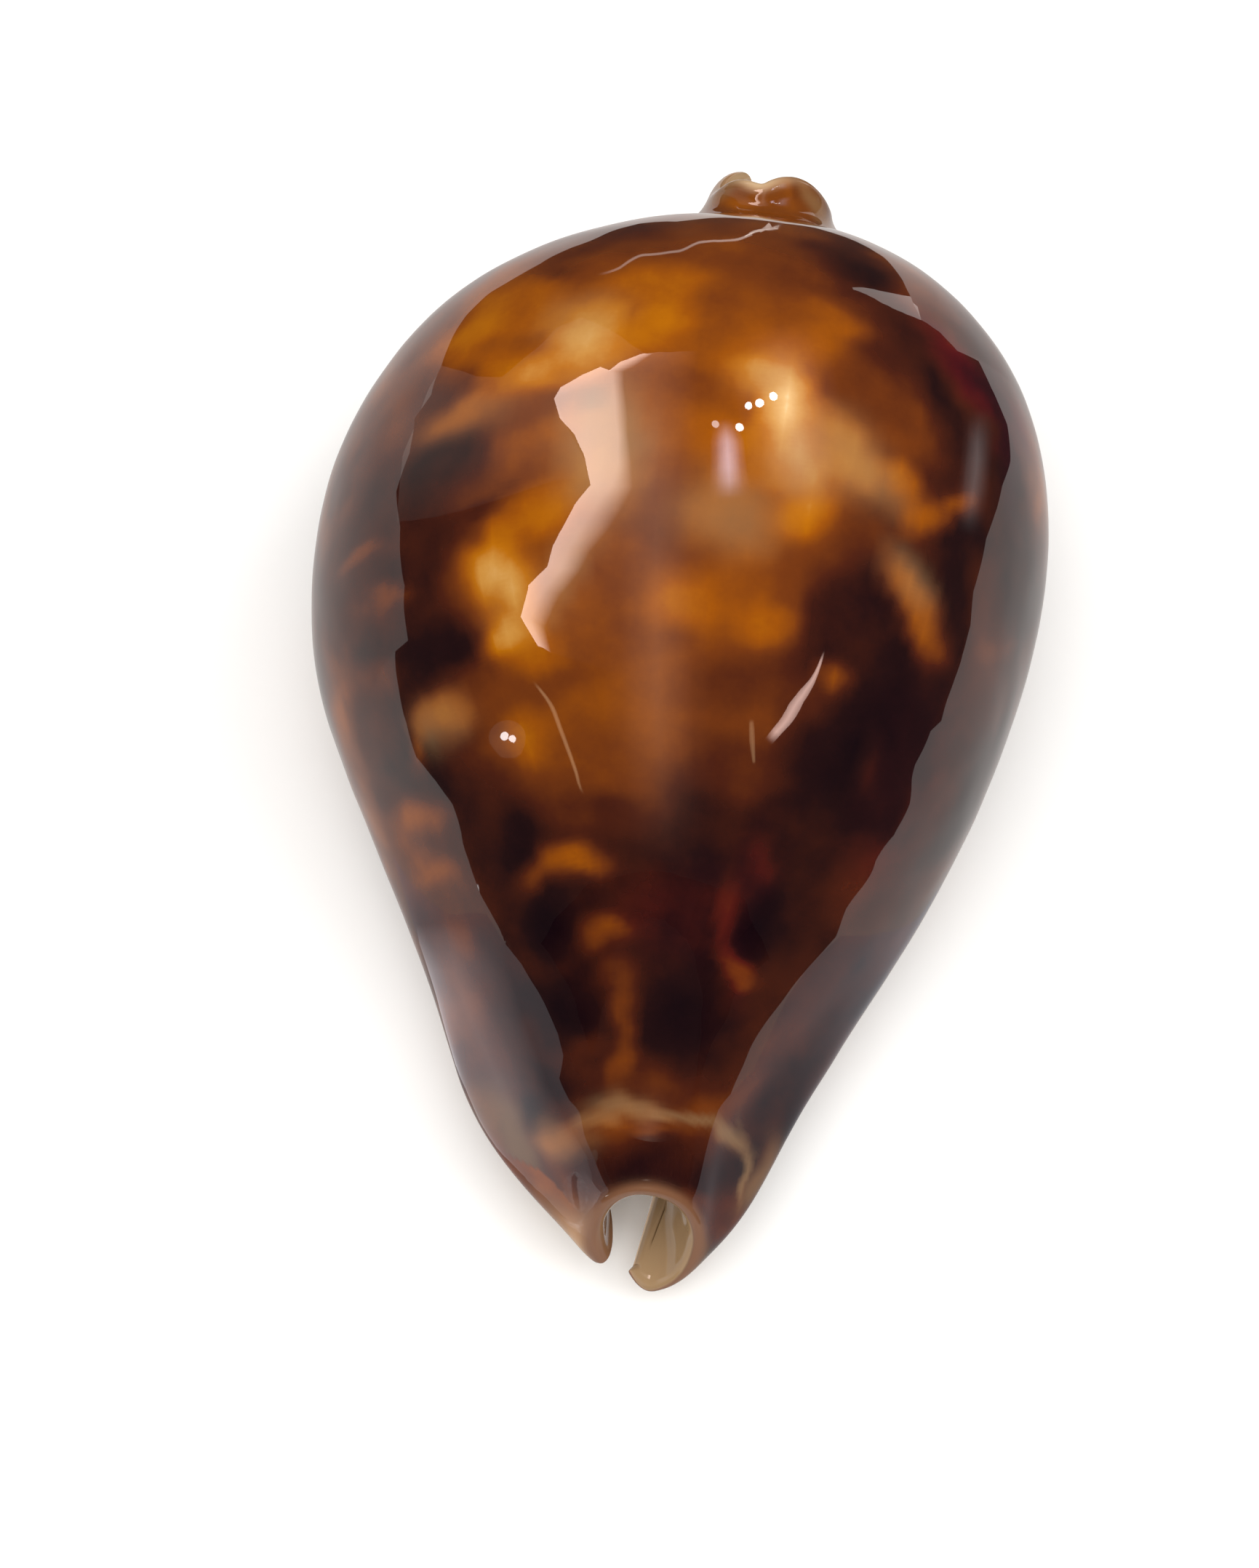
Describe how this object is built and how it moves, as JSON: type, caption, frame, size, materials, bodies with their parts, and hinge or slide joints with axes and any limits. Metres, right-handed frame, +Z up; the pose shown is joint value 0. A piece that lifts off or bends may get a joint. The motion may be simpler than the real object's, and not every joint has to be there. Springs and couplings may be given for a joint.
{
  "type": "cowrie shell",
  "caption": "Empty pear-shaped cowrie shell, high-domed and glossy, with a toothed slit along its underside and a short spout at each end.",
  "frame": {"origin": "centre of the shell's bounding box in plan, at the height of the surface that it rests on", "axes": "+Y from the narrow front spout to the wide rear end, +Z up through the dome, +X towards the inner lip's side, so that the outer lip is at -X"},
  "size_m": [0.0548, 0.0888, 0.0435],
  "materials": {
    "polished_shell": "naturally glossy enamel, mottled amber to dark maroon brown, paler under"
  },
  "bodies": {
    "root": {"shell": "polished_shell"}
  },
  "joints": []
}
